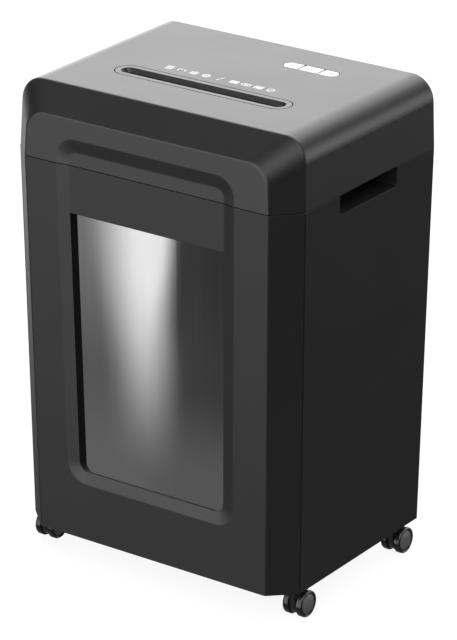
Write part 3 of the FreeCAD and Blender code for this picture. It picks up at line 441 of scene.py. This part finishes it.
def screen_ink(name, hex_value):
    """Screen-printed ink: a matt film with slightly uneven cover."""
    material, tree, shader, place = start_material(name)
    cover = noise(tree, place, 1.5, 3.0)
    tone = add(tree, RANGE, NOISE_SPAN | {"To Min": 0.94, "To Max": 1.0}, {"Value": cover})
    base = add(tree, "ShaderNodeHueSaturation", {"Color": colour(hex_value)}, {"Value": tone.outputs[0]})
    tree.links.new(base.outputs[0], shader.inputs["Base Color"])
    gloss = add(tree, RANGE, NOISE_SPAN | {"To Min": 0.5, "To Max": 0.62}, {"Value": cover})
    tree.links.new(gloss.outputs[0], shader.inputs["Roughness"])
    return material


# Moulded ABS with a fine eroded texture: charcoal black, satin, so that it goes pale grey where it
# mirrors a light at a low angle. The grain is drawn at 1.1 mm, coarser than real, so that it shows.
abs_case = moulded("moulded ABS, charcoal, satin texture", "1d1d1e", "48484a", 0.34, 1.1, 0.010)
# The same ABS in the slot's collar, with a slightly closer polish.
abs_collar = moulded("moulded ABS, charcoal, fine satin", "1f1f20", "48484a", 0.32, 0.9, 0.007)
# The throat gets painted shade: the collar goes unlit black and duller below the top face.
paint_throat_shade(abs_collar)
# Plain polypropylene inside: deep black and dull.
pp_liner = moulded("moulded polypropylene, black, matt", "0d0d0e", "1c1c1d", 0.6, 1.6, 0.016, wear=0.2)
# White ABS keys, polished: bright and clean, with a soft highlight.
abs_key = moulded("moulded ABS, white, polished", "f2f2f1", "e2e2e0", 0.22, 1.4, 0.003, wear=0.3)
# Frosted polycarbonate lamp lenses: milky white with a weak shine.
pc_lens = moulded("frosted polycarbonate lens", "dfe2e6", "f0f2f4", 0.3, 0.8, 0.004, wear=0.0)
nylon_caster = moulded("moulded nylon, black, polished", **NYLON)
# PBT in the electrical fittings at the rear: grey-black, a touch glossier than the case.
pbt_socket = moulded("moulded PBT, black, semi-gloss", "1a1a1b", "333335", 0.3, 1.2, 0.006, wear=0.3)
# Silicone return domes: mid grey with no clear highlight.
silicone = moulded("silicone rubber, grey, dull", "8b8b8d", "9a9a9c", 0.6, 2.0, 0.02, wear=0.1)
# Enamelled motor can: glossy black, rubbed pale along its edges.
motor_enamel = moulded("enamelled steel can, black", "202022", "6a6a6c", 0.28, 2.5, 0.012, wear=0.6)
acrylic_window = smoked_acrylic()
board_resist = circuit_board()
# Inks, white on the case and grey on the keys: flat and matt, a little uneven.
ink_white = screen_ink("screen-printed ink, white", "f4f4f4")
ink_grey = screen_ink("screen-printed ink, grey", "6e6e70")
# Ground cutter steel: mid grey with marks that run round the shaft, lightly oiled.
steel_cutter = metal("ground tool steel, oiled", "9a9a9c", "5d5c5a", 0.3, 0.5, (1, 12, 12), 0.01)
# Zinc-plated sheet: pale silver grey with faint rolling lines.
zinc_sheet = metal("zinc-plated steel sheet, rolled", "b4b6b8", "8b8e90", 0.34, 0.7, (14, 14, 1), 0.006)
# Sintered bronze bushes: brown gold, dull and grainy.
bronze_bush = metal("sintered bronze, dull", "a8824e", "6d5430", 0.45, 0.6, (1, 1, 1), 0.02)
# Black-oxide screws: nearly black with a weak metal glint.
steel_screw = metal("steel screw, black oxide", "3a3a3c", "232324", 0.38, 0.3, (1, 1, 1), 0.008)
# Plated caster stems: bright silver with sharp highlights.
steel_stem = metal("steel stem, bright plated", "c4c4c6", "9b9b9d", 0.18, 0.4, (8, 8, 1), 0.004)
# Blackened steel wire in the dust screens behind the vents: a dark grey mesh with a weak glint.
wire_black = metal("woven steel wire, blackened", "2c2c2e", "18181a", 0.42, 0.4, (1, 1, 1), 0.006)
# Dead-black lips along the gap between the bin and the side panels: painted shade, a dark strip set where
# that gap lies in shadow.
gap_shade_black = moulded("painted gap shade, dead black, matt", "060606", "0c0c0c", 0.8, 0.8, 0.02, specular=0.2, wear=0.2)

FINISHES = {
    "case_black": abs_case,
    "bezel_black": abs_collar,
    "liner_black": pp_liner,
    "key_white": abs_key,
    "lamp_white": pc_lens,
    "smoked_window": acrylic_window,
    "tool_steel": steel_cutter,
    "zinc_plate": zinc_sheet,
    "bush_bronze": bronze_bush,
    "motor_paint": motor_enamel,
    "board_green": board_resist,
    "dome_rubber": silicone,
    "socket_black": pbt_socket,
    "screw_steel": steel_screw,
    "caster_black": nylon_caster,
    "stem_steel": steel_stem,
}

for entry in frame["record"]["subparts"]:
    piece = nodes[entry["node"]]
    piece.data.materials.clear()
    piece.data.materials.append(FINISHES[entry["material_slot"]])
# Each caster's wheels get their own copy of the nylon, because its cap is centred on their axle.
for corner in ("fl", "fr", "rl", "rr"):
    wheels = "caster_" + corner + "_wheels"
    nodes[wheels].data.materials[0] = wheel_nylon(wheels, corner)


# ---- printed marks -----------------------------------------------------------------------------
# Widths of the pens that the marks are drawn with, and the size of the slot's marks against that.
FINE_PEN, PEN, BOLD_PEN = 1.0, 1.3, 1.6
MARK_SCALE = 1.1
# Where the slot's marks stand along it and how far behind the middle of the case, and how thick the
# films of ink on the case and on the keys are.
MARK_X = (-72.7, -55.0, -37.5, -20.0, 20.0, 37.0, 54.5, 71.8)
MARK_Y = 2.4
SLOT_FILM, KEY_FILM = 0.08, 0.05


def box_loop(x0, x1, y0, y1):
    return [(x0, y0), (x1, y0), (x1, y1), (x0, y1)]


def arc_loop(cx, cy, radius, start=0.0, end=360.0, steps=24):
    """Points round a circle or along part of it, in degrees."""
    span = end - start
    count = steps if span < 360 else steps - 1
    return [(cx + radius * math.cos(math.radians(start + span * i / steps)),
             cy + radius * math.sin(math.radians(start + span * i / steps))) for i in range(count + 1)]


def pill_loop(half, radius):
    """A long loop with round ends."""
    return arc_loop(-half, 0, radius, 90, 270, 10) + arc_loop(half, 0, radius, -90, 90, 10)


def ring_loops(radius, width):
    return [arc_loop(0, 0, radius + width / 2), arc_loop(0, 0, radius - width / 2)]


def stroke(points, width):
    """Closed outline of an open line of points drawn with a pen of that width."""
    left, right = [], []
    for i, (x, y) in enumerate(points):
        ax, ay = points[max(i - 1, 0)]
        bx, by = points[min(i + 1, len(points) - 1)]
        length = math.hypot(bx - ax, by - ay)
        nx, ny = -(by - ay) / length * width / 2, (bx - ax) / length * width / 2
        left.append((x + nx, y + ny))
        right.append((x - nx, y - ny))
    return left + right[::-1]


# The marks beside the slot, from left to right: each is a list of closed loops in millimetres round
# its own middle, and a loop inside another cuts a hole.
SLOT_MARKS = {
    "printed sheet": [box_loop(-4.2, 4.2, -4.8, 4.8), box_loop(-2.6, 2.6, 1.6, 2.9),
                      box_loop(-2.6, 2.6, -0.9, 0.4), box_loop(-2.6, 2.6, -3.3, -2.0)],
    "staple": [stroke([(-4.6, -2.6), (-4.6, 2.4), (4.6, 2.4), (4.6, -2.6)], BOLD_PEN)],
    "stack under a clip": [box_loop(-5.0, 5.0, y, y + 1.8) for y in (-4.0, -1.3, 1.4)]
                          + [box_loop(-1.4, 1.4, 3.9, 5.0)],
    "disc": ring_loops(3.6, 2.4) + [arc_loop(0, 0, 1.1)],
    "folded letter": [box_loop(-5.2, 5.2, -3.9, 3.9), stroke([(-4.2, 2.8), (0, -0.6), (4.2, 2.8)], FINE_PEN)],
    "wire clip": [pill_loop(2.6, 3.6), pill_loop(2.6, 2.2), box_loop(-3.0, 2.6, -0.8, 0.8)],
    "payment card": [box_loop(-5.4, 5.4, -3.8, 3.8), box_loop(-4.2, 4.2, 0.8, 2.2),
                     box_loop(-4.2, -0.6, -2.4, -1.2)],
    "barred ring": ring_loops(4.2, PEN) + [stroke([(-2.5, -2.5), (2.5, 2.5)], PEN)],
}
DIVIDER = [stroke([(-1.8, -6.4), (1.8, 6.4)], PEN)]
# The marks on the keys: arrow heads that point outwards, and an open ring with an upright bar.
KEY_MARKS = {
    "reverse": [stroke([(2.2, 3.6), (-2.2, 0), (2.2, -3.6)], 1.5)],
    "power": [stroke(arc_loop(0, 0, 3.9, 125, 415, 20), PEN), box_loop(-0.65, 0.65, 1.0, 5.0)],
    "forward": [stroke([(-2.2, 3.6), (2.2, 0), (-2.2, -3.6)], 1.5)],
}


def printed(name, placed, height_mm, film_mm, material, body):
    """Loops in millimetres, each set at its own place, as a thin raised film on a level surface."""
    mesh = bpy.data.meshes.new(name)
    whole = bmesh.new()
    for loops, cx, cy in placed:
        drawing = bpy.data.curves.new("drawing", "CURVE")
        drawing.dimensions = "2D"
        drawing.fill_mode = "BOTH"
        drawing.extrude = film_mm * MM / 2
        for loop in loops:
            line = drawing.splines.new("POLY")
            line.points.add(len(loop) - 1)
            for point, (x, y) in zip(line.points, loop):
                point.co = (x * MM, y * MM, 0, 1)
            line.use_cyclic_u = True
        holder = bpy.data.objects.new("drawing", drawing)
        scene.collection.objects.link(holder)
        shape = bpy.data.meshes.new_from_object(holder.evaluated_get(bpy.context.evaluated_depsgraph_get()))
        shape.transform(Matrix.Translation((cx * MM, cy * MM, (height_mm + film_mm / 2) * MM)))
        whole.from_mesh(shape)
        bpy.data.objects.remove(holder)
        bpy.data.meshes.remove(shape)
    bmesh.ops.remove_doubles(whole, verts=whole.verts, dist=1e-6)
    bmesh.ops.recalc_face_normals(whole, faces=whole.faces)
    whole.to_mesh(mesh)
    whole.free()
    return new_object(name, mesh, material, body)


def print_slot_marks():
    """The row of marks beside the slot, with a slanted divider in the middle."""
    placed = []
    for loops, x in zip(SLOT_MARKS.values(), MARK_X):
        placed.append(([[(u * MARK_SCALE, v * MARK_SCALE) for u, v in loop] for loop in loops], x, MARK_Y))
    placed.append((DIVIDER, 0, MARK_Y))
    printed("slot_marks", placed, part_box("head_cover")[1][2] / MM, SLOT_FILM, ink_white, "cabinet")


def print_key_marks():
    """One mark in the middle of each key."""
    for key, loops in KEY_MARKS.items():
        low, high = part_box("key_" + key)
        x, y = [(low[i] + high[i]) / 2 / MM for i in (0, 1)]
        printed("glyph_" + key, [(loops, x, y)], high[2] / MM, KEY_FILM, ink_grey, key + "_key")


print_slot_marks()
print_key_marks()


# ---- repeated pieces, made with Geometry Nodes ---------------------------------------------------
def new_tree(name, inputs):
    """An empty Geometry Nodes tree with named number inputs; gives the tree, its input node and the ids."""
    tree = bpy.data.node_groups.new(name, "GeometryNodeTree")
    tree.interface.new_socket("Geometry", in_out="INPUT", socket_type="NodeSocketGeometry")
    ids = {}
    for label, kind in inputs.items():
        ids[label] = tree.interface.new_socket(label, in_out="INPUT", socket_type=kind).identifier
    tree.interface.new_socket("Geometry", in_out="OUTPUT", socket_type="NodeSocketGeometry")
    return tree, add(tree, "NodeGroupInput"), ids


def finish_tree(tree, shapes, material):
    """Joins the shapes, makes the instances real, sets the material and ends the tree."""
    together = add(tree, "GeometryNodeJoinGeometry")
    for shape in shapes:
        tree.links.new(shape, together.inputs[0])
    real = add(tree, "GeometryNodeRealizeInstances", {}, {0: together.outputs[0]})
    done = add(tree, "GeometryNodeSetMaterial", {"Material": material}, {"Geometry": real.outputs[0]})
    add(tree, "NodeGroupOutput", {}, {0: done.outputs[0]})


def row(tree, count, step, shape):
    """A shape set at each point of a straight row."""
    line = add(tree, "GeometryNodeMeshLine", {}, {"Count": count, "Offset": step})
    copies = add(tree, "GeometryNodeInstanceOnPoints", {}, {"Points": line.outputs[0], "Instance": shape})
    return copies.outputs[0]


def screen_tree(material):
    """A flat dust screen in X and Z: upright wires and level wires at one pitch."""
    names = ("Width", "Height", "Pitch", "Wire")
    tree, start, ids = new_tree("dust screen", {label: "NodeSocketFloat" for label in names})
    width, height, pitch, wire = [start.outputs[label] for label in names]
    shapes = []
    for axis, along, thickness in (("Z", height, {"X": width, "Y": wire, "Z": wire}),
                                   ("X", width, {"X": wire, "Y": wire, "Z": height})):
        size = add(tree, XYZ, {}, thickness)
        bar = add(tree, "GeometryNodeMeshCube", {}, {"Size": size.outputs[0]})
        gaps = add(tree, MATH, {"operation": "DIVIDE"}, {0: along, 1: pitch})
        count = add(tree, MATH, {"operation": "ADD", 1: 1.0}, {0: gaps.outputs[0]})
        step = add(tree, XYZ, {}, {axis: pitch})
        bars = row(tree, count.outputs[0], step.outputs[0], bar.outputs[0])
        half = add(tree, MATH, {"operation": "MULTIPLY", 1: -0.5}, {0: along})
        shift = add(tree, XYZ, {}, {axis: half.outputs[0]})
        moved = add(tree, "GeometryNodeTransform", {},
                    {"Geometry": bars, "Translation": shift.outputs[0]})
        shapes.append(moved.outputs[0])
    finish_tree(tree, shapes, material)
    return tree, ids


def rib_tree(material):
    """A row along Y of round ribs that lie along X."""
    tree, start, ids = new_tree("grip ribs", {
        "Count": "NodeSocketInt", "Pitch": "NodeSocketFloat", "Radius": "NodeSocketFloat",
        "Length": "NodeSocketFloat"})
    rib = add(tree, "GeometryNodeMeshCylinder", {"Vertices": 16},
              {"Radius": start.outputs["Radius"], "Depth": start.outputs["Length"]})
    laid = add(tree, "GeometryNodeTransform", {"Rotation": (0, math.pi / 2, 0)}, {"Geometry": rib.outputs[0]})
    step = add(tree, XYZ, {}, {"Y": start.outputs["Pitch"]})
    ribs = row(tree, start.outputs["Count"], step.outputs[0], laid.outputs[0])
    finish_tree(tree, [ribs], material)
    return tree, ids


def grown(tree, ids, values, place):
    """The plain mesh that a tree makes with these values, set at a place."""
    seed = bpy.data.objects.new("seed", bpy.data.meshes.new("seed"))
    scene.collection.objects.link(seed)
    modifier = seed.modifiers.new("tree", "NODES")
    modifier.node_group = tree
    for label, value in values.items():
        modifier[ids[label]] = value
    mesh = bpy.data.meshes.new_from_object(seed.evaluated_get(bpy.context.evaluated_depsgraph_get()))
    bpy.data.objects.remove(seed)
    mesh.transform(place)
    return mesh


def joined(name, parts):
    """One mesh from several."""
    whole = bmesh.new()
    for part in parts:
        whole.from_mesh(part)
        bpy.data.meshes.remove(part)
    mesh = bpy.data.meshes.new(name)
    whole.to_mesh(mesh)
    whole.free()
    return mesh


# The middle of each vent, out from the centre and up, and the size of its screen. Then the pitch and
# thickness of the wires, the gap between screen and back panel, and the panel's own thickness. The
# wires are drawn a little coarser than real ones, so that they show.
VENT_X, VENT_Z, VENT_WIDE, VENT_HIGH = 95.0, 433.0, 98.0, 76.0
SCREEN_PITCH, SCREEN_WIRE, SCREEN_GAP = 2.0, 0.45, 0.6
BACK_SHEET = 3.0


def make_vent_screens():
    """Two dust screens that lie against the inside of the sloping back panel."""
    low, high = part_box("back_panel")
    slope = (high[1] - low[1] - BACK_SHEET * MM) / (high[2] - low[2])
    depth = low[1] + slope * (VENT_Z * MM - low[2]) - SCREEN_GAP * MM
    tree, ids = screen_tree(wire_black)
    values = {"Width": VENT_WIDE * MM, "Height": VENT_HIGH * MM, "Pitch": SCREEN_PITCH * MM,
              "Wire": SCREEN_WIRE * MM}
    tilt = Matrix.Rotation(-math.atan(slope), 4, "X")
    parts = [grown(tree, ids, values, Matrix.Translation((x * MM, depth, VENT_Z * MM)) @ tilt)
             for x in (-VENT_X, VENT_X)]
    new_object("vent_screens", joined("vent_screens", parts), wire_black, "cabinet")


RIB_COUNT, RIB_PITCH, RIB_R, RIB_LONG = 13, 8.5, 1.0, 19.0
# The height of the ribs' axes above the underside of the cup.
RIB_RISE = 2.2


def make_grip_ribs():
    """Low round ribs across the floor of both hand holes, half sunk in it."""
    tree, ids = rib_tree(pp_liner)
    values = {"Count": RIB_COUNT, "Pitch": RIB_PITCH * MM, "Radius": RIB_R * MM, "Length": RIB_LONG * MM}
    parts = []
    for side in ("right", "left"):
        low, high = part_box("handle_cup_" + side)
        x = (low[0] + high[0]) / 2
        y = (low[1] + high[1]) / 2 - (RIB_COUNT - 1) / 2 * RIB_PITCH * MM
        parts.append(grown(tree, ids, values, Matrix.Translation((x, y, low[2] + RIB_RISE * MM))))
    new_object("grip_ribs", joined("grip_ribs", parts), pp_liner, "cabinet")


# The dead-black lips beside the bin, painted shade for the gap there: how wide, how far they stand proud of
# the panel, how deep they go, and how far they end above the bin's lower edge and below its upper one.
GAP_SHADE_WIDE, GAP_SHADE_PROUD, GAP_SHADE_DEEP = 2.3, 0.06, 1.4
GAP_SHADE_LOW, GAP_SHADE_HIGH = 1.0, 0.5
GAP_SHADE_STEPS = 8
# Where the bevel of the bin ends, at the base and at the seam: half width and depth.
EDGE_HALF_BASE, EDGE_BASE, EDGE_SEAM = 196.1, -115.3, -118.7


def make_bin_gap_shade():
    """A dead-black round lip down the front edge of each side panel, just proud of it: painted shade for the
    gap beside the bin.
    """
    bin_low, bin_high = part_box("bin_front")
    ends = ((bin_low[2] / MM + GAP_SHADE_LOW, EDGE_HALF_BASE, EDGE_BASE),
            (bin_high[2] / MM - GAP_SHADE_HIGH, bin_high[0] / MM, EDGE_SEAM))
    whole = bmesh.new()
    for side in (-1, 1):
        rings = []
        for z, x, y in ends:
            ring = []
            for step in range(GAP_SHADE_STEPS + 1):
                angle = math.pi * step / GAP_SHADE_STEPS
                out = GAP_SHADE_PROUD * math.sin(angle) if 0 < step < GAP_SHADE_STEPS else -GAP_SHADE_DEEP
                ring.append((side * (x + out), y + GAP_SHADE_WIDE * (1 - math.cos(angle)) / 2, z))
            rings.append([whole.verts.new(Vector(c) * MM) for c in ring])
        for i in range(GAP_SHADE_STEPS + 1):
            j = (i + 1) % (GAP_SHADE_STEPS + 1)
            whole.faces.new((rings[0][i], rings[0][j], rings[1][j], rings[1][i]))
        whole.faces.new(rings[0])
        whole.faces.new(rings[1])
    bmesh.ops.recalc_face_normals(whole, faces=whole.faces)
    mesh = bpy.data.meshes.new("bin_gap_shade")
    whole.to_mesh(mesh)
    whole.free()
    new_object("bin_gap_shade", mesh, gap_shade_black, "cabinet")


make_vent_screens()
make_grip_ribs()
make_bin_gap_shade()
